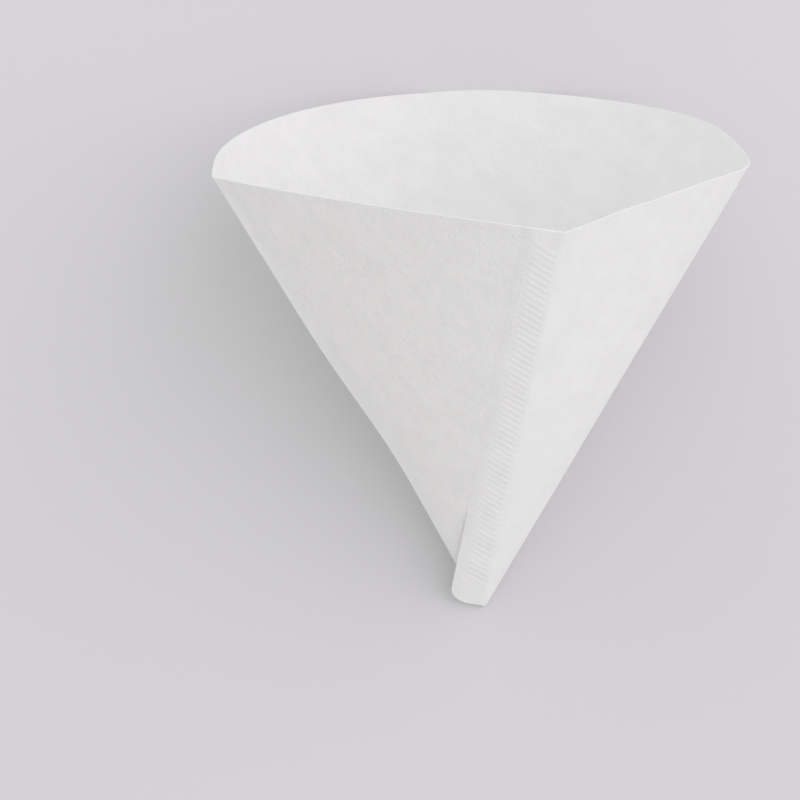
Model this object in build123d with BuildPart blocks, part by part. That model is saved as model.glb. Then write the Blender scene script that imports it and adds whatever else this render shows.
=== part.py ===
from build123d import *
from math import atan2, degrees, floor, radians, sin, tan
import os

# Cone-shaped paper coffee filter, opened out and lying on its back wall.
# One folded sheet: a cone wall, a sharp crease on the left, and a crimped seam
# whose two-ply flap is folded over onto the front left panel.
# Millimetres, +Z up, mouth towards +Y, seam on top.

# The sheet
slant_length = 125.0
paper_thickness = 0.2
blunt_tip_height = 1.2

# The outline, square to the cone's axis at outline_height above the tip:
# x runs to the right and y towards the back wall that it lies on
outline_height = 110.0
seam_corner = (14.4, -61.7)
left_bulge = (-30.4, -47.2)
left_corner = (-61.9, -14.7)
back_left_bulge = (-44.2, 37.2)
back_depth = 54.8
flat_centre = -2.0
flat_width = 20.0
back_right_bulge = (37.5, 42.5)
back_right_end = (49.4, 24.0)
right_bend = (57.6, -11.0)
right_bend_radius = 14.0
right_bulge = (37.2, -42.4)

# The seam flap: two plies crimped together and folded over
flap_width = 8.5
flap_lift = 2.0
flap_rim_setback = 0.3
flap_tip_setback = 1.5
flap_rim_corner_radius = 2.5
flap_tip_corner_radius = 5.0

# The crimp: slanted ridges pressed through both plies
crimp_pitch = 1.85
crimp_band_width = 5.0
crimp_fold_gap = 1.2
crimp_slant = 30.0
crimp_rim_margin = 3.0
crimp_tip_margin = 9.0
ridge_width = 1.0
ridge_height = 0.15
ridge_draft = 45.0

flap_thickness = 2 * paper_thickness
lying_angle = degrees(atan2(back_depth, outline_height))
# The inside is the same cone moved along its axis, which leaves an even wall
wall_shift = paper_thickness / sin(radians(lying_angle))

# Seen along the axis, with the tip at the world origin: local Z from tip to mouth,
# local Y down to the floor
axis_plane = Plane(
    origin=(0, 0, 0),
    x_dir=(1, 0, 0),
    z_dir=Vector(0, 1, tan(radians(lying_angle))).normalized(),
)

# Arcs between the creases, the soft bend on the right and the flat that it rests on
flat_left = (flat_centre - flat_width / 2, back_depth)
flat_right = (flat_centre + flat_width / 2, back_depth)
with BuildSketch(axis_plane.offset(outline_height)) as outline:
    with BuildLine():
        ThreePointArc(seam_corner, right_bulge, right_bend)
        Line(right_bend, back_right_end)
        ThreePointArc(back_right_end, back_right_bulge, flat_right)
        Line(flat_right, flat_left)
        ThreePointArc(flat_left, back_left_bulge, left_corner)
        ThreePointArc(left_corner, left_bulge, seam_corner)
    make_face()
    fillet(outline.vertices().sort_by(Axis.X)[-1], radius=right_bend_radius)
edges = outline.sketch.wire().order_edges()


def cone_axis(edge):
    """The axis of the right cone from the tip through an edge's ends and middle.

    A straight edge gives the widest cone, which is flat.
    """
    start, middle, end = [(edge @ along).normalized() for along in (0, 0.5, 1)]
    return (middle - start).cross(end - middle).normalized()


def outward_at(edge, ray):
    """Straight out of the panel on an edge, beside one of its rays from the tip."""
    return cone_axis(edge).cross(ray).cross(ray).normalized()


def chord_plane(edge):
    """The plane through the tip and an edge's ends, facing out."""
    start, end = [(edge @ along).normalized() for along in (0, 1)]
    return Plane(origin=(0, 0, 0), x_dir=start, z_dir=end.cross(start))


def bulge(edge):
    """What the cone on a curved edge adds outside its chord plane."""
    axis = cone_axis(edge)
    opening = axis.get_angle(edge @ 0)
    with BuildPart() as sector:
        with BuildSketch(Plane(origin=(0, 0, 0), x_dir=axis, z_dir=(edge @ 0.5).cross(axis))):
            with BuildLine():
                rim = CenterArc((0, 0), slant_length, 0, opening)
                Polyline(rim @ 0, (0, 0), rim @ 1)
            make_face()
        revolve(axis=Axis((0, 0, 0), axis))
        split(bisect_by=chord_plane(edge), keep=Keep.TOP)
    return sector.part


# The seam's direction from the tip, and the way out of the front left panel beside it
seam_direction = axis_plane.from_local_coords((*seam_corner, outline_height)).normalized()
left_bulge_point = axis_plane.from_local_coords((*left_bulge, outline_height))
outward = outward_at(edges.sort_by_distance(left_bulge_point)[0], seam_direction)

# The flap's plane: local X up the seam from the tip, local Y across the flap,
# local Z outwards from the wall
panel_plane = Plane(origin=(0, 0, 0), x_dir=seam_direction, z_dir=outward)
lifted = outward.rotate(Axis((0, 0, 0), seam_direction), flap_lift)
flap_plane = Plane(origin=(0, 0, 0), x_dir=seam_direction, z_dir=lifted)
flap_end = slant_length - flap_rim_setback

# The ridges slant up the seam, away from the fold, all of them between the two margins
ridge_run = crimp_band_width * tan(radians(crimp_slant))
crimp_length = flap_end - crimp_rim_margin - crimp_tip_margin - ridge_run - ridge_width
ridge_count = floor(crimp_length / crimp_pitch) + 1
ridge_starts = [(crimp_tip_margin + crimp_pitch * n, crimp_fold_gap) for n in range(ridge_count)]


def crimp_ridges():
    """One slanted ridge outline for each place along the crimped band."""
    with Locations(ridge_starts):
        Polygon(
            (0, 0),
            (ridge_width, 0),
            (ridge_width + ridge_run, crimp_band_width),
            (ridge_run, crimp_band_width),
            align=None,
        )


bulges = [bulge(edge) for edge in edges if edge.geom_type != GeomType.LINE]

# The solid cone, cut at one slant length from the tip all round
with BuildPart() as cone:
    Sphere(slant_length)
    for edge in edges:
        split(bisect_by=chord_plane(edge), keep=Keep.BOTTOM)
    add(bulges)
    split(bisect_by=axis_plane.offset(blunt_tip_height), keep=Keep.TOP)

with BuildPart() as coffee_filter:
    # The wall
    add(cone.part)
    add(cone.part.moved(Location(axis_plane.z_dir * wall_shift)), mode=Mode.SUBTRACT)

    # The rounded fold along the seam, as thick as the wall and the flap together
    fold_radius = (paper_thickness + flap_thickness) / 2
    fold_start = panel_plane.from_local_coords(
        (flap_tip_setback, 0, fold_radius - paper_thickness)
    )
    with BuildSketch(Plane(origin=fold_start, z_dir=seam_direction)):
        Circle(fold_radius)
    extrude(amount=flap_end - flap_tip_setback)

    # The flap, with its two free corners rounded
    with BuildSketch(flap_plane) as flap_outline:
        with BuildLine():
            rim_edge = CenterArc((0, 0), flap_end, 0, degrees(flap_width / flap_end))
            tip_end = (flap_tip_setback, flap_width)
            Polyline(rim_edge @ 1, tip_end, (flap_tip_setback, 0), rim_edge @ 0)
        make_face()
        free_corners = flap_outline.vertices().sort_by(Axis.Y)[-2:].sort_by(Axis.X)
        fillet(free_corners[0], radius=flap_tip_corner_radius)
        fillet(free_corners[1], radius=flap_rim_corner_radius)
    extrude(amount=flap_thickness)

    # The crimp stands up on the outside and is hollow underneath
    with BuildSketch(flap_plane.offset(flap_thickness)):
        crimp_ridges()
    extrude(amount=ridge_height, taper=ridge_draft)
    with BuildSketch(flap_plane):
        crimp_ridges()
    extrude(amount=ridge_height, taper=ridge_draft, mode=Mode.SUBTRACT)

# Set down with the middle of its length and width over the origin
middle = coffee_filter.part.bounding_box().center()
coffee_filter.part = Pos(-middle.X, -middle.Y, 0) * coffee_filter.part
coffee_filter.part.label = "coffee_filter"

os.makedirs("parts", exist_ok=True)
export_step(coffee_filter.part, "parts/coffee_filter.step")
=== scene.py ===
import math

import bpy
from mathutils import Matrix, Vector, noise


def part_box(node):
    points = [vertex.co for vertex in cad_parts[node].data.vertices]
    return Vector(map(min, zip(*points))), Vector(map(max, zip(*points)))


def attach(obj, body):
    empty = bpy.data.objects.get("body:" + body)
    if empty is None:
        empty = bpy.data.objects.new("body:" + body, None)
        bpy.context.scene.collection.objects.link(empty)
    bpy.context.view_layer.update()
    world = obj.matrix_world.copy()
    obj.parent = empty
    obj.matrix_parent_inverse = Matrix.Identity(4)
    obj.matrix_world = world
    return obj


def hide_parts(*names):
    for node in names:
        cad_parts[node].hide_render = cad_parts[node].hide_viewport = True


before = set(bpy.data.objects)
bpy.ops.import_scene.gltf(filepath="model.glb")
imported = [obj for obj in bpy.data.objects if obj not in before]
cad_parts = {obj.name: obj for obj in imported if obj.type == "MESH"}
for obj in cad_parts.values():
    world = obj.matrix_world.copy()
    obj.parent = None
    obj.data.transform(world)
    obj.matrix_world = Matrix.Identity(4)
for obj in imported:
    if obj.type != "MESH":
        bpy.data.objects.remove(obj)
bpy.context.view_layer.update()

bl_info = {
    "name": "Paper Coffee Filter",
    "version": (1, 0, 0),
    "blender": (4, 5, 0),
    "location": "View3D > Sidebar > Filter",
    "description": "Dresses an opened paper coffee filter on a studio floor",
    "category": "Object",
}

NODE = "coffee_filter"
MM = 0.001
SHEET_UV = "sheet"

# The cone's outline in millimetres, square to its axis at a height above the tip: x to
# the right, y down to the floor. Each panel is the start, middle and end of its
# stretch, and they go once round from the seam.
OUTLINE_HEIGHT = 110.0
BACK_DEPTH = 54.8
FRONT_RIGHT = ((14.4, -61.7), (38.04, -41.47), (55.42, -15.68))
RIGHT_BEND = ((55.42, -15.68), (56.78, -11.08), (56.5, -6.29))
BEHIND_BEND = ((56.5, -6.29), (52.95, 8.85), (49.4, 24.0))
BACK_RIGHT = ((49.4, 24.0), (33.5, 45.85), (8.0, 54.8))
RESTING_FLAT = ((8.0, 54.8), (-2.0, 54.8), (-12.0, 54.8))
BACK_LEFT = ((-12.0, 54.8), (-50.47, 29.75), (-61.9, -14.7))
FRONT_LEFT = ((-61.9, -14.7), (-29.6, -47.7), (14.4, -61.7))
BEFORE_LEFT_FOLD = (
    FRONT_RIGHT,
    RIGHT_BEND,
    BEHIND_BEND,
    BACK_RIGHT,
    RESTING_FLAT,
    BACK_LEFT,
)
PANELS = (*BEFORE_LEFT_FOLD, FRONT_LEFT)

# How far in from its sides the crimp band reaches its full height
CRIMP_FADE = 0.4 * MM

# Faces that meet at less than these angles are shaded as one surface
WALL_SMOOTH_ANGLE = math.radians(14)
FLAP_SMOOTH_ANGLE = math.radians(50)


class SheetSettings(bpy.types.PropertyGroup):
    slant_length: bpy.props.FloatProperty(
        name="Slant Length",
        description="Distance from the tip to the rim along the paper",
        default=0.125,
        subtype="DISTANCE",
        unit="LENGTH",
    )
    thickness: bpy.props.FloatProperty(
        name="Paper Thickness",
        description="Thickness of one ply",
        default=0.0002,
        precision=5,
        subtype="DISTANCE",
        unit="LENGTH",
    )
    column_angle: bpy.props.FloatProperty(
        name="Column Angle",
        description="Angle between mesh columns, measured on the flat sheet",
        default=math.radians(0.7),
        subtype="ANGLE",
        unit="ROTATION",
    )
    row_spacing: bpy.props.FloatProperty(
        name="Row Spacing",
        description="Distance between mesh rows along the paper",
        default=0.0016,
        precision=5,
        subtype="DISTANCE",
        unit="LENGTH",
    )
    tip_start: bpy.props.FloatProperty(
        name="Tip Start",
        description="Distance from the tip at which the paper closes",
        default=0.0015,
        precision=5,
        subtype="DISTANCE",
        unit="LENGTH",
    )
    waviness: bpy.props.FloatProperty(
        name="Waviness",
        description="How far the paper leaves a true cone between its folds",
        default=0.0004,
        precision=5,
        subtype="DISTANCE",
        unit="LENGTH",
    )
    slack: bpy.props.FloatProperty(
        name="Slack",
        description="How far the right panel falls in close to the rim",
        default=0.0009,
        precision=5,
        subtype="DISTANCE",
        unit="LENGTH",
    )
    dent: bpy.props.FloatProperty(
        name="Dent",
        description="How far the left fold sinks in at its lower half",
        default=0.0013,
        precision=5,
        subtype="DISTANCE",
        unit="LENGTH",
    )


class FlapSettings(bpy.types.PropertyGroup):
    width: bpy.props.FloatProperty(
        name="Width",
        description="Width of the crimped seam flap",
        default=0.0085,
        precision=5,
        subtype="DISTANCE",
        unit="LENGTH",
    )
    edge_height: bpy.props.FloatProperty(
        name="Edge Height",
        description="How far the flap's free edge stands off the wall",
        default=0.00007,
        precision=5,
        subtype="DISTANCE",
        unit="LENGTH",
    )
    rim_setback: bpy.props.FloatProperty(
        name="Rim Setback",
        description="Distance of the flap's end from the rim",
        default=0.00005,
        precision=5,
        subtype="DISTANCE",
        unit="LENGTH",
    )
    tip_setback: bpy.props.FloatProperty(
        name="Tip Setback",
        description="Distance of the flap's square end from the tip",
        default=0.0015,
        precision=5,
        subtype="DISTANCE",
        unit="LENGTH",
    )
    rim_corner: bpy.props.FloatProperty(
        name="Rim Corner Radius",
        description="Radius of the flap's free corner at the rim",
        default=0.0008,
        precision=5,
        subtype="DISTANCE",
        unit="LENGTH",
    )
    tip_corner: bpy.props.FloatProperty(
        name="Tip Corner Radius",
        description="Radius of the flap's free corner at the tip",
        default=0.005,
        precision=5,
        subtype="DISTANCE",
        unit="LENGTH",
    )
    crimp_pitch: bpy.props.FloatProperty(
        name="Crimp Pitch",
        description="Distance between crimp ridges along the seam",
        default=0.00185,
        precision=5,
        subtype="DISTANCE",
        unit="LENGTH",
    )
    crimp_height: bpy.props.FloatProperty(
        name="Crimp Height",
        description="Height of the crimp ridges",
        default=0.00019,
        precision=5,
        subtype="DISTANCE",
        unit="LENGTH",
    )
    crimp_slant: bpy.props.FloatProperty(
        name="Crimp Slant",
        description="Angle of the ridges from square to the seam",
        default=math.radians(30),
        subtype="ANGLE",
        unit="ROTATION",
    )
    crimp_gap: bpy.props.FloatProperty(
        name="Crimp Gap",
        description="Distance of the crimp band from the seam",
        default=0.0008,
        precision=5,
        subtype="DISTANCE",
        unit="LENGTH",
    )
    crimp_band: bpy.props.FloatProperty(
        name="Crimp Band",
        description="Width of the crimp band",
        default=0.0052,
        precision=5,
        subtype="DISTANCE",
        unit="LENGTH",
    )
    crimp_rim_margin: bpy.props.FloatProperty(
        name="Crimp Rim Margin",
        description="Distance of the last ridge from the flap's end at the rim",
        default=0.0033,
        precision=5,
        subtype="DISTANCE",
        unit="LENGTH",
    )
    crimp_tip_margin: bpy.props.FloatProperty(
        name="Crimp Tip Margin",
        description="Distance of the first ridge from the tip",
        default=0.009,
        precision=5,
        subtype="DISTANCE",
        unit="LENGTH",
    )


class PaperSettings(bpy.types.PropertyGroup):
    color: bpy.props.FloatVectorProperty(
        name="Color",
        description="Color of the bleached paper",
        subtype="COLOR",
        size=3,
        min=0.0,
        max=1.0,
        default=(0.83, 0.83, 0.83),
    )
    roughness: bpy.props.FloatProperty(
        name="Roughness",
        description="Roughness of the paper",
        subtype="FACTOR",
        min=0.0,
        max=1.0,
        default=0.92,
    )
    cloud_size: bpy.props.FloatVectorProperty(
        name="Cloud Size",
        description="Length and width of the cloudy patches in the paper",
        size=2,
        default=(0.009, 0.006),
        precision=5,
        unit="LENGTH",
    )
    cloud_shade: bpy.props.FloatProperty(
        name="Cloud Shade",
        description="Brightness of the darker patches, as a share of the color",
        subtype="FACTOR",
        min=0.0,
        max=1.0,
        default=0.96,
    )
    grain_angle: bpy.props.FloatProperty(
        name="Grain Angle",
        description="Direction of the crepe wrinkles on the flat sheet, from the seam",
        default=math.radians(-46),
        subtype="ANGLE",
        unit="ROTATION",
    )
    crepe_size: bpy.props.FloatVectorProperty(
        name="Crepe Size",
        description="Length and width of the fine crepe wrinkles",
        size=2,
        default=(0.0015, 0.00048),
        precision=5,
        unit="LENGTH",
    )
    crepe_depth: bpy.props.FloatProperty(
        name="Crepe Depth",
        description="Depth of the fine crepe wrinkles on the front left panel",
        default=0.0003,
        precision=6,
        subtype="DISTANCE",
        unit="LENGTH",
    )
    fibre_size: bpy.props.FloatVectorProperty(
        name="Fibre Size",
        description="Length and width of the marks that single fibres leave",
        size=2,
        default=(0.0006, 0.0003),
        precision=5,
        unit="LENGTH",
    )
    fibre_depth: bpy.props.FloatProperty(
        name="Fibre Depth",
        description="Depth of the marks that single fibres leave",
        default=0.00007,
        precision=6,
        subtype="DISTANCE",
        unit="LENGTH",
    )


class StageSettings(bpy.types.PropertyGroup):
    floor_color: bpy.props.FloatVectorProperty(
        name="Floor Color",
        description="Color of the studio floor",
        subtype="COLOR",
        size=3,
        min=0.0,
        max=1.0,
        default=(0.655, 0.65, 0.665),
    )
    floor_size: bpy.props.FloatProperty(
        name="Floor Size",
        description="Side of the studio floor",
        default=6.0,
        subtype="DISTANCE",
        unit="LENGTH",
    )
    lens: bpy.props.FloatProperty(
        name="Lens",
        description="Focal length of the camera in millimetres",
        default=135.0,
    )
    camera_place: bpy.props.FloatVectorProperty(
        name="Camera Place",
        description="Place of the camera",
        subtype="TRANSLATION",
        unit="LENGTH",
        size=3,
        default=(-0.0176, -0.1121, 0.7060),
    )
    camera_tilt: bpy.props.FloatProperty(
        name="Camera Tilt",
        description="Angle of the camera from straight down",
        default=math.radians(7.98),
        subtype="ANGLE",
        unit="ROTATION",
    )
    world_color: bpy.props.FloatVectorProperty(
        name="World Color",
        description="Color of the soft light from all round",
        subtype="COLOR",
        size=3,
        min=0.0,
        max=1.0,
        default=(1, 0.99, 0.972),
    )
    world_strength: bpy.props.FloatProperty(
        name="World Strength",
        description="Strength of the soft light from the sides",
        default=1.25,
    )
    top_strength: bpy.props.FloatProperty(
        name="Top Strength",
        description="Strength of the soft light from straight above",
        default=0.57,
    )
    lamp_size: bpy.props.FloatProperty(
        name="Lamp Size",
        description="Side of each large soft lamp",
        default=1.8,
        subtype="DISTANCE",
        unit="LENGTH",
    )
    lamp_aim: bpy.props.FloatVectorProperty(
        name="Lamp Aim",
        description="Point that both lamps face",
        subtype="TRANSLATION",
        unit="LENGTH",
        size=3,
        default=(0, 0, 0.03),
    )
    key_place: bpy.props.FloatVectorProperty(
        name="Key Place",
        description="Place of the lamp on the right",
        subtype="TRANSLATION",
        unit="LENGTH",
        size=3,
        default=(0.72, 0.25, 1.05),
    )
    key_color: bpy.props.FloatVectorProperty(
        name="Key Color",
        description="Color of the lamp on the right",
        subtype="COLOR",
        size=3,
        min=0.0,
        max=1.0,
        default=(0.95, 0.91, 1),
    )
    key_strength: bpy.props.FloatProperty(
        name="Key Strength",
        description="Power of the lamp on the right",
        default=7.3,
        subtype="POWER",
    )
    fill_place: bpy.props.FloatVectorProperty(
        name="Fill Place",
        description="Place of the weaker lamp behind on the left",
        subtype="TRANSLATION",
        unit="LENGTH",
        size=3,
        default=(-0.8, 1.28, 0.6),
    )
    fill_color: bpy.props.FloatVectorProperty(
        name="Fill Color",
        description="Color of the weaker lamp behind on the left",
        subtype="COLOR",
        size=3,
        min=0.0,
        max=1.0,
        default=(0.95, 0.96, 1),
    )
    fill_strength: bpy.props.FloatProperty(
        name="Fill Strength",
        description="Power of the weaker lamp behind on the left",
        default=4.6,
        subtype="POWER",
    )


def direction(point):
    """From the tip to a point of the outline, as the cone lies on its back."""
    across, down = point
    lying = math.atan2(BACK_DEPTH, OUTLINE_HEIGHT)
    along_axis = Vector((0, math.cos(lying), math.sin(lying)))
    to_floor = Vector((0, math.sin(lying), -math.cos(lying)))
    place = Vector((across, 0, 0)) + down * to_floor + OUTLINE_HEIGHT * along_axis
    return place.normalized()


def panel_axis(panel):
    """The axis of the right cone through a panel's start, middle and end."""
    start, middle, end = [direction(point) for point in panel]
    return (middle - start).cross(end - middle).normalized()


def outward_at(axis, ray):
    """Straight out of the paper that turns about an axis, beside one of its rays."""
    return axis.cross(ray).cross(ray).normalized()


def spread(panel):
    """A panel's angle on the flat sheet."""
    axis = panel_axis(panel)
    start, end = direction(panel[0]), direction(panel[-1])
    return axis.cross(start).angle(axis.cross(end)) * axis.cross(start).length


def rim_columns(column_angle):
    """Each column's direction from the tip, way out and angle on the flat sheet.

    They go once round the rim, and the angle of the whole sheet comes with them.
    """
    columns = []
    unrolled = 0.0
    for panel in PANELS:
        axis = panel_axis(panel)
        start, end = direction(panel[0]), direction(panel[-1])
        turn = axis.cross(start).angle(axis.cross(end))
        flat_turn = spread(panel)
        steps = max(2, round(flat_turn / column_angle))
        for step in range(steps):
            ray = Matrix.Rotation(turn * step / steps, 3, axis) @ start
            angle = unrolled + flat_turn * step / steps
            columns.append((ray, outward_at(axis, ray), angle))
        unrolled += flat_turn
    return columns, unrolled


def left_fold_angle():
    """The left fold's angle on the flat sheet."""
    return sum(spread(panel) for panel in BEFORE_LEFT_FOLD)


def tip_place(columns, slant_length):
    """The tip, from the box of the CAD filter: its rim is one slant length away."""
    low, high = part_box(NODE)
    leftmost = min(ray.x for ray, _, _ in columns)
    return Vector((low[0] - leftmost * slant_length, high[1] - slant_length, low[2]))


def seam_sides():
    """The seam and the two panels beside it, from the tip."""
    seam = direction(FRONT_RIGHT[0])
    left_axis, right_axis = panel_axis(FRONT_LEFT), panel_axis(FRONT_RIGHT)
    out = outward_at(left_axis, seam)
    return {
        "seam": seam,
        "left_axis": left_axis,
        "right_axis": right_axis,
        "out": out,
        "over": out.cross(seam),
        "crease": out.angle(outward_at(right_axis, seam)),
    }


def bend_away(ray, axis, distance, across, level):
    """From straight across a panel's ray to the same distance round its cone."""
    turn = across / (distance * axis.cross(ray).length)
    round_it = distance * (Matrix.Rotation(turn, 3, axis) @ ray)
    return round_it - distance * ray - abs(across) * level


def smooth_step(value):
    """From nothing at zero to one at one, level at both ends."""
    value = min(1.0, max(0.0, value))
    return value * value * (3 - 2 * value)


def bell(value):
    """One at zero, fading softly to nothing at one either way."""
    return smooth_step(1 - abs(value))


def deselect():
    if bpy.context.object and bpy.context.object.mode != "OBJECT":
        bpy.ops.object.mode_set(mode="OBJECT")
    bpy.ops.object.select_all(action="DESELECT")


def make_active(piece):
    deselect()
    piece.select_set(True)
    bpy.context.view_layer.objects.active = piece


def thicken(piece, thickness, smooth_angle):
    """Give a sheet of paper its thickness, inwards from where it is."""
    make_active(piece)
    paper = piece.modifiers.new("Paper", "SOLIDIFY")
    paper.thickness = thickness
    paper.offset = -1
    bpy.ops.object.modifier_apply(modifier=paper.name)
    bpy.ops.object.shade_smooth_by_angle(angle=smooth_angle)


def dress(piece, material):
    """Give a piece its paper, hang it on the root body and hide the CAD filter."""
    piece.data.materials.clear()
    piece.data.materials.append(material)
    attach(piece, "root")
    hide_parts(NODE)


def paper_material(scene):
    """Bleached filter paper: fibre cloud, crepe wrinkles and fine fibres."""
    material = bpy.data.materials.get("bleached_filter_paper")
    if material:
        return material
    paper, flap = scene.filter_paper, scene.filter_flap
    material = bpy.data.materials.new("bleached_filter_paper")
    material.use_nodes = True
    nodes, links = material.node_tree.nodes, material.node_tree.links
    shader = nodes["Principled BSDF"]
    shader.inputs["Roughness"].default_value = paper.roughness
    shader.inputs["Specular IOR Level"].default_value = 0.25
    shader.inputs["Sheen Weight"].default_value = 0.08
    shader.inputs["Sheen Roughness"].default_value = 0.5

    sheet = nodes.new("ShaderNodeUVMap")
    sheet.uv_map = SHEET_UV
    part = nodes.new("ShaderNodeSeparateXYZ")
    links.new(sheet.outputs["UV"], part.inputs["Vector"])

    def grain(size, detail):
        """Noise on the flat sheet, with spots of a length and width."""
        place = nodes.new("ShaderNodeMapping")
        place.vector_type = "TEXTURE"
        place.inputs["Scale"].default_value = (*size, 1)
        place.inputs["Rotation"].default_value = (0, 0, paper.grain_angle)
        links.new(sheet.outputs["UV"], place.inputs["Vector"])
        spots = nodes.new("ShaderNodeTexNoise")
        spots.noise_dimensions = "2D"
        spots.inputs["Scale"].default_value = 1.0
        spots.inputs["Detail"].default_value = detail
        spots.inputs["Roughness"].default_value = 0.6
        links.new(place.outputs["Vector"], spots.inputs["Vector"])
        return spots.outputs["Fac"]

    def bump(height, depth, below=None):
        """A relief, alone or on top of another one."""
        relief = nodes.new("ShaderNodeBump")
        relief.inputs["Strength"].default_value = 1.0
        relief.inputs["Distance"].default_value = depth
        links.new(height, relief.inputs["Height"])
        if below:
            links.new(below, relief.inputs["Normal"])
        return relief.outputs["Normal"]

    def ramp(value, start, end, low, high):
        """From low, where a value is at start, to high, where it is at end."""
        fade = nodes.new("ShaderNodeMapRange")
        fade.inputs["From Min"].default_value = start
        fade.inputs["From Max"].default_value = end
        fade.inputs["To Min"].default_value = low
        fade.inputs["To Max"].default_value = high
        links.new(value, fade.inputs["Value"])
        return fade.outputs["Result"]

    def combine(operation, first, second):
        """Two values made one."""
        result = nodes.new("ShaderNodeMath")
        result.operation = operation
        links.new(first, result.inputs[0])
        links.new(second, result.inputs[1])
        return result.outputs["Value"]

    # Cloudy fibre density
    cloud_detail, dark_up_to, light_from = 4.0, 0.3, 0.7
    shade = [channel * paper.cloud_shade for channel in paper.color]
    tone = nodes.new("ShaderNodeValToRGB")
    dark, light = tone.color_ramp.elements
    dark.position, dark.color = dark_up_to, (*shade, 1)
    light.position, light.color = light_from, (*paper.color, 1)
    links.new(grain(paper.cloud_size, cloud_detail), tone.inputs["Fac"])
    links.new(tone.outputs["Color"], shader.inputs["Base Color"])

    # How deep the crepe is: full on the front left panel and past the crimp, less
    # where the crimp presses it, and faint elsewhere
    full, pressed, faint = 1.0, 0.3, 0.08
    past_fold, past_seam = 0.05, 0.5 * MM
    left_fold = left_fold_angle()
    crimp_side = flap.crimp_gap + flap.crimp_band
    crimp_start, crimp_end = crimp_side - CRIMP_FADE, crimp_side + CRIMP_FADE
    angle = combine("ARCTAN2", part.outputs["Y"], part.outputs["X"])
    on_panel = ramp(angle, left_fold, left_fold + past_fold, faint, full)
    on_flap = ramp(part.outputs["Y"], 0, -past_seam, faint, pressed)
    past_crimp = ramp(part.outputs["Y"], -crimp_start, -crimp_end, 0, full)
    share = combine("MAXIMUM", combine("MAXIMUM", on_panel, on_flap), past_crimp)

    # Crepe wrinkles, and the fibres on them
    crepe_detail, fibre_detail = 2.0, 3.0
    wrinkles = combine("MULTIPLY", grain(paper.crepe_size, crepe_detail), share)
    crepe = bump(wrinkles, paper.crepe_depth)
    fibres = grain(paper.fibre_size, fibre_detail)
    links.new(bump(fibres, paper.fibre_depth, crepe), shader.inputs["Normal"])
    return material


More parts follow.
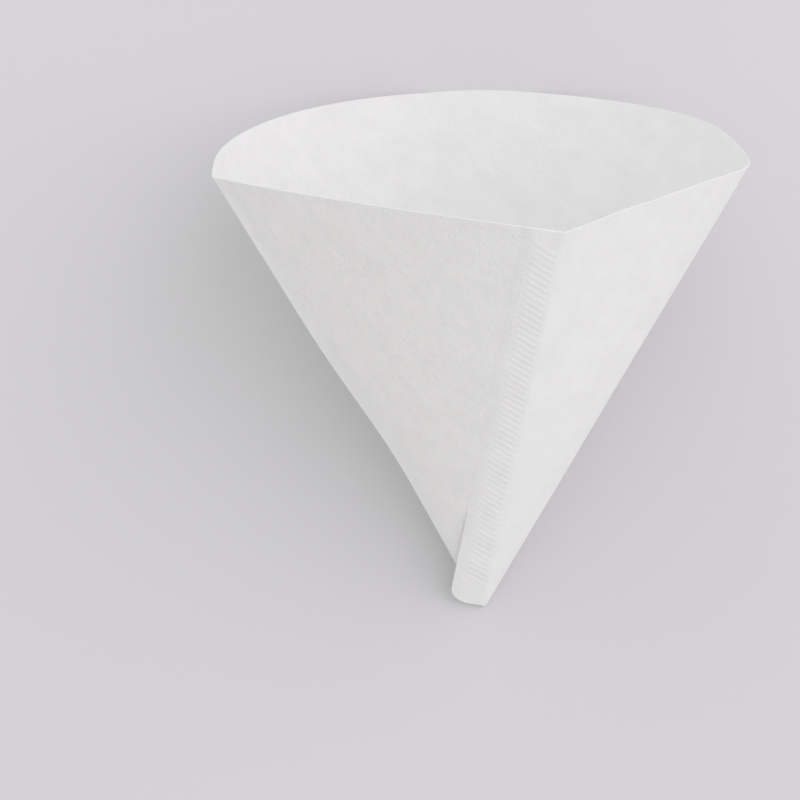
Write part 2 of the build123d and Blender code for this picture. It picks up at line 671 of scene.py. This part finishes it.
class FILTER_OT_wall(bpy.types.Operator):
    """Make the cone wall from one folded sheet"""

    bl_idname = "coffee_filter.wall"
    bl_label = "Make Wall"
    bl_options = {"REGISTER", "UNDO"}

    def execute(self, context):
        sheet = context.scene.filter_sheet
        columns, unrolled = rim_columns(sheet.column_angle)
        tip = tip_place(columns, sheet.slant_length)
        wall = self.draw_rim(columns, tip, sheet)
        self.pull_to_tip(tip, sheet)
        self.unroll(wall, columns, tip, unrolled)
        self.relax(wall, columns, tip, sheet, unrolled)
        thicken(wall, sheet.thickness, WALL_SMOOTH_ANGLE)
        dress(wall, paper_material(context.scene))
        return {"FINISHED"}

    def draw_rim(self, columns, tip, sheet):
        """A circle with one point for each column, shaped into the rim."""
        radius = sheet.slant_length / 2
        deselect()
        bpy.ops.mesh.primitive_circle_add(vertices=len(columns), radius=radius)
        wall = bpy.context.object
        wall.name = wall.data.name = "filter_wall"
        column = wall.data.attributes.new("column", "INT", "POINT")
        for index, (ray, _, _) in enumerate(columns):
            wall.data.vertices[index].co = tip + sheet.slant_length * ray
            column.data[index].value = index
        return wall

    def pull_to_tip(self, tip, sheet):
        """Extrude the rim ring by ring, each scaled towards the tip, and close it."""
        closing_scale = 0.3
        length = sheet.slant_length - sheet.tip_start
        rows = round(length / sheet.row_spacing)
        step = length / rows
        bpy.ops.object.mode_set(mode="EDIT")
        bpy.ops.mesh.select_all(action="SELECT")
        for row in range(rows):
            here = sheet.slant_length - row * step
            self.add_ring(tip, (here - step) / here)
        self.add_ring(tip, closing_scale)
        bpy.ops.mesh.merge(type="CENTER")
        bpy.ops.mesh.select_all(action="SELECT")
        bpy.ops.mesh.normals_make_consistent(inside=False)
        bpy.ops.object.mode_set(mode="OBJECT")

    def add_ring(self, tip, scale):
        bpy.ops.mesh.extrude_region_move()
        bpy.ops.transform.resize(value=(scale, scale, scale), center_override=tip)

    def unroll(self, wall, columns, tip, unrolled):
        """Lay the flat sheet out as the UV map, in metres."""
        mesh = wall.data
        around = [columns[item.value][2] for item in mesh.attributes["column"].data]
        uv = mesh.uv_layers.new(name=SHEET_UV)
        for face in mesh.polygons:
            # A face of the last column ends at the far side of the flat sheet
            last = max(around[index] for index in face.vertices) > unrolled / 2
            for loop in face.loop_indices:
                index = mesh.loops[loop].vertex_index
                angle = around[index]
                if last and angle == 0:
                    angle = unrolled
                distance = (mesh.vertices[index].co - tip).length
                flat = (distance * math.cos(angle), distance * math.sin(angle))
                uv.data[loop].uv = flat

    def relax(self, wall, columns, tip, sheet, unrolled):
        """Let the paper bow and sink a little away from its folds and its flat."""
        closed_reach = 0.05
        flap_side, flap_fade, floor_fade = 9 * MM, 20 * MM, 6 * MM
        left_fold, right_bend = left_fold_angle(), spread(FRONT_RIGHT)
        mesh = wall.data
        column = [item.value for item in mesh.attributes["column"].data]
        for vertex in mesh.vertices:
            _, out, angle = columns[column[vertex.index]]
            distance = (vertex.co - tip).length
            reach = distance / sheet.slant_length
            if reach < closed_reach:
                continue
            from_seam = min(angle, unrolled - angle) * distance
            off_flap = smooth_step((from_seam - flap_side) / flap_fade)
            off_floor = smooth_step(vertex.co.z / floor_fade)
            bow = sheet.waviness * self.wave(reach, angle) * off_flap
            past_fold, across_right = angle - left_fold, angle / right_bend
            sunk = sheet.dent * self.dent(reach, past_fold)
            sunk += sheet.slack * self.slack(reach, across_right, -past_fold)
            vertex.co += out * off_floor * (bow - sunk)

    def wave(self, reach, angle):
        """Slow noise on the flat sheet, fading out towards the tip."""
        along, around, layer, fade_in = 2.2, 2.6, 0.4, 1.5
        place = Vector((reach * along, angle * around, layer))
        return noise.noise(place) * smooth_step(reach * fade_in)

    def dent(self, reach, past_fold):
        """One on the left fold, a third of the way up, fading out all round."""
        middle, half_length, half_width = 0.36, 0.3, 0.55
        return bell((reach - middle) / half_length) * bell(past_fold / half_width)

    def slack(self, reach, across_right, before_fold):
        """How much the right panel and the back by the left fold give near the rim."""
        rim_start, rim_fade = 0.45, 0.5
        seam_start, seam_fade, bend_fade = 0.02, 0.26, 0.4
        fold_fade, back_fade, back_share = 0.07, 0.3, 0.6
        near_rim = smooth_step((reach - rim_start) / rim_fade)
        right = smooth_step((across_right - seam_start) / seam_fade)
        right *= smooth_step((1 - across_right) / bend_fade)
        back = smooth_step(before_fold / fold_fade)
        back *= smooth_step(1 - before_fold / back_fade)
        return near_rim * (right + back_share * back)


class FILTER_OT_flap(bpy.types.Operator):
    """Make the crimped seam flap, folded over onto the front left panel"""

    bl_idname = "coffee_filter.flap"
    bl_label = "Make Seam Flap"
    bl_options = {"REGISTER", "UNDO"}

    def execute(self, context):
        sheet, flap = context.scene.filter_sheet, context.scene.filter_flap
        columns, _ = rim_columns(sheet.column_angle)
        tip = tip_place(columns, sheet.slant_length)
        piece = self.lay_strip(sheet, flap, tip)
        thicken(piece, sheet.thickness, FLAP_SMOOTH_ANGLE)
        dress(piece, paper_material(context.scene))
        return {"FINISHED"}

    def lay_strip(self, sheet, flap, tip):
        """A fine grid, laid from the right panel over the fold onto the left one."""
        rows_per_ridge, columns = 9, 36
        length = sheet.slant_length - flap.tip_setback
        rows = round(length / (flap.crimp_pitch / rows_per_ridge))
        deselect()
        bpy.ops.mesh.primitive_grid_add(
            x_subdivisions=rows, y_subdivisions=columns, size=1
        )
        piece = bpy.context.object
        piece.name = piece.data.name = "seam_flap"
        sides = seam_sides()
        uv = piece.data.uv_layers[0]
        uv.name = SHEET_UV
        flat = {}
        for vertex in piece.data.vertices:
            # The grid is one across, with its middle at the origin
            along, side = vertex.co.x + 0.5, vertex.co.y + 0.5
            place, flat_place = self.strip_point(along, side, sheet, flap, sides)
            vertex.co = tip + place
            flat[vertex.index] = flat_place
        for loop in piece.data.loops:
            uv.data[loop.index].uv = flat[loop.vertex_index]
        middle = piece.data.polygons[len(piece.data.polygons) // 2]
        if middle.normal.dot(sides["out"]) < 0:
            piece.data.flip_normals()
        return piece

    def strip_point(self, along, side, sheet, flap, sides):
        """A point of the upper ply, from the tip, and its place on the flat sheet."""
        plies_up = 1.1
        edge_sink, sink_fade = 0.06 * MM, 0.6 * MM
        cling_start, cling_fade = 12 * MM, 30 * MM
        seam, over, out = sides["seam"], sides["over"], sides["out"]
        crease = sides["crease"]
        end = sheet.slant_length - flap.rim_setback
        distance = flap.tip_setback + along * (end - flap.tip_setback)
        height = plies_up * sheet.thickness
        corner = Vector((height / math.tan(crease), height))
        start, stop = self.strip_span(distance, end, flap, corner)
        run = start + side * (stop - start)

        down = Vector((math.cos(crease), math.sin(crease)))
        flat = Vector((flap.width, flap.edge_height - height)).normalized()
        cross = self.fold_over(run, corner, down, flat)
        y, z = cross
        z -= edge_sink * (1 - smooth_step((run - start) / sink_fade))
        z += self.crimp(distance, y, flap, end)
        place = distance * seam + y * over + z * out

        # Follow the round of the panel underneath, but stand free close to the tip
        if y > 0:
            cling = smooth_step((distance - cling_start) / cling_fade)
            place += cling * bend_away(seam, sides["left_axis"], distance, -y, over)
        else:
            reach, level = cross.length, -(down.x * over + down.y * out)
            place += bend_away(seam, sides["right_axis"], distance, reach, level)
        return place, (distance, -run)

    def strip_span(self, distance, end, flap, corner):
        """Where the strip starts on the right and stops on the left of the fold."""
        tuck, least_tuck, tuck_fade = 1.6 * MM, 0.1 * MM, 40 * MM
        tucked = tuck * smooth_step(distance / tuck_fade) + least_tuck
        width = flap.width - corner.x
        width -= self.corner_loss(distance - flap.tip_setback, flap.tip_corner)
        width -= self.corner_loss(end - distance, flap.rim_corner)
        return -(corner.length + tucked), width

    def fold_over(self, run, corner, down, flat):
        """Across the strip: down on the right, flat on the left and round between."""
        soft = 0.5 * MM
        if abs(run) >= soft:
            return corner + run * (down if run < 0 else flat)
        t = (run + soft) / (2 * soft)
        return corner + (1 - t) ** 2 * (-soft * down) + t**2 * (soft * flat)

    def corner_loss(self, from_end, radius):
        """How much narrower a rounded corner makes the flap, that far from its end."""
        if from_end >= radius:
            return 0.0
        return radius - math.sqrt(max(radius**2 - (radius - from_end) ** 2, 0))

    def crimp(self, distance, y, flap, end):
        """Height of the slanted ridges, which fade at both sides of their band."""
        half_ridge, soft_side = 0.3, 0.2
        gap, band, slope = flap.crimp_gap, flap.crimp_band, math.tan(flap.crimp_slant)
        inside = smooth_step((y - gap) / CRIMP_FADE)
        inside *= smooth_step((gap + band - y) / CRIMP_FADE)
        place = distance - flap.crimp_tip_margin - (y - gap) * slope
        last = end - flap.crimp_tip_margin - flap.crimp_rim_margin - band * slope
        if inside == 0 or not -flap.crimp_pitch / 2 < place < last:
            return 0.0
        phase = place / flap.crimp_pitch - round(place / flap.crimp_pitch)
        ridge = smooth_step((half_ridge - abs(phase)) / soft_side)
        return flap.crimp_height * inside * ridge


class FILTER_OT_stage(bpy.types.Operator):
    """Make the studio floor, the soft light and the camera"""

    bl_idname = "coffee_filter.stage"
    bl_label = "Make Stage"
    bl_options = {"REGISTER", "UNDO"}

    def execute(self, context):
        stage = context.scene.filter_stage
        self.make_floor(stage)
        self.make_light(context, stage)
        self.make_camera(context, stage)
        context.scene.view_settings.view_transform = "Standard"
        return {"FINISHED"}

    def make_floor(self, stage):
        low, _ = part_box(NODE)
        deselect()
        bpy.ops.mesh.primitive_plane_add(size=stage.floor_size, location=(0, 0, low[2]))
        floor = bpy.context.object
        floor.name = "studio_floor"
        material = bpy.data.materials.new("pale_studio_floor")
        material.use_nodes = True
        shader = material.node_tree.nodes["Principled BSDF"]
        shader.inputs["Base Color"].default_value = (*stage.floor_color, 1)
        shader.inputs["Roughness"].default_value = 0.9
        shader.inputs["Specular IOR Level"].default_value = 0.1
        floor.data.materials.append(material)

    def make_light(self, context, stage):
        """A light tent with sides brighter than its top, and two large soft lamps."""
        world = context.scene.world or bpy.data.worlds.new("soft_room")
        context.scene.world = world
        world.use_nodes = True
        nodes, links = world.node_tree.nodes, world.node_tree.links
        tent = nodes["Background"]
        tent.inputs["Color"].default_value = (*stage.world_color, 1)
        way = nodes.new("ShaderNodeTexCoord")
        part = nodes.new("ShaderNodeSeparateXYZ")
        fade = nodes.new("ShaderNodeMapRange")
        fade.inputs["To Min"].default_value = stage.world_strength
        fade.inputs["To Max"].default_value = stage.top_strength
        links.new(way.outputs["Generated"], part.inputs["Vector"])
        links.new(part.outputs["Z"], fade.inputs["Value"])
        links.new(fade.outputs["Result"], tent.inputs["Strength"])

        key = self.make_lamp("soft_key", stage)
        key.location = stage.key_place
        key.data.color = stage.key_color
        key.data.energy = stage.key_strength
        fill = self.make_lamp("soft_fill", stage)
        fill.location = stage.fill_place
        fill.data.color = stage.fill_color
        fill.data.energy = stage.fill_strength
        for lamp in (key, fill):
            aim = stage.lamp_aim - lamp.location
            lamp.rotation_euler = aim.to_track_quat("-Z", "Y").to_euler()

    def make_lamp(self, name, stage):
        bpy.ops.object.light_add(type="AREA")
        lamp = bpy.context.object
        lamp.name = name
        lamp.data.shape = "SQUARE"
        lamp.data.size = stage.lamp_size
        return lamp

    def make_camera(self, context, stage):
        tilt = (stage.camera_tilt, 0, 0)
        bpy.ops.object.camera_add(location=stage.camera_place, rotation=tilt)
        camera = bpy.context.object
        camera.name = "photo_camera"
        camera.data.lens = stage.lens
        camera.data.sensor_width = 36
        camera.data.clip_start = 0.01
        camera.data.clip_end = 20
        context.scene.camera = camera


class FILTER_PT_sidebar(bpy.types.Panel):
    """Sizes, colors and steps of the filter"""

    bl_label = "Paper Coffee Filter"
    bl_idname = "FILTER_PT_sidebar"
    bl_space_type = "VIEW_3D"
    bl_region_type = "UI"
    bl_category = "Filter"

    def draw(self, context):
        groups = (
            ("Wall", "filter_sheet", FILTER_OT_wall),
            ("Seam Flap", "filter_flap", FILTER_OT_flap),
            ("Paper", "filter_paper", None),
            ("Stage", "filter_stage", FILTER_OT_stage),
        )
        for title, name, operator in groups:
            box = self.layout.box()
            box.label(text=title)
            settings = getattr(context.scene, name)
            for item in settings.bl_rna.properties:
                if item.identifier not in {"rna_type", "name"}:
                    box.prop(settings, item.identifier)
            if operator:
                box.operator(operator.bl_idname)


CLASSES = (
    SheetSettings,
    FlapSettings,
    PaperSettings,
    StageSettings,
    FILTER_OT_wall,
    FILTER_OT_flap,
    FILTER_OT_stage,
    FILTER_PT_sidebar,
)


def register():
    for item in CLASSES:
        bpy.utils.register_class(item)
    bpy.types.Scene.filter_sheet = bpy.props.PointerProperty(type=SheetSettings)
    bpy.types.Scene.filter_flap = bpy.props.PointerProperty(type=FlapSettings)
    bpy.types.Scene.filter_paper = bpy.props.PointerProperty(type=PaperSettings)
    bpy.types.Scene.filter_stage = bpy.props.PointerProperty(type=StageSettings)


def unregister():
    del bpy.types.Scene.filter_stage
    del bpy.types.Scene.filter_paper
    del bpy.types.Scene.filter_flap
    del bpy.types.Scene.filter_sheet
    for item in reversed(CLASSES):
        bpy.utils.unregister_class(item)


def main():
    register()
    bpy.ops.coffee_filter.wall()
    bpy.ops.coffee_filter.flap()
    bpy.ops.coffee_filter.stage()


if __name__ == "__main__":
    main()
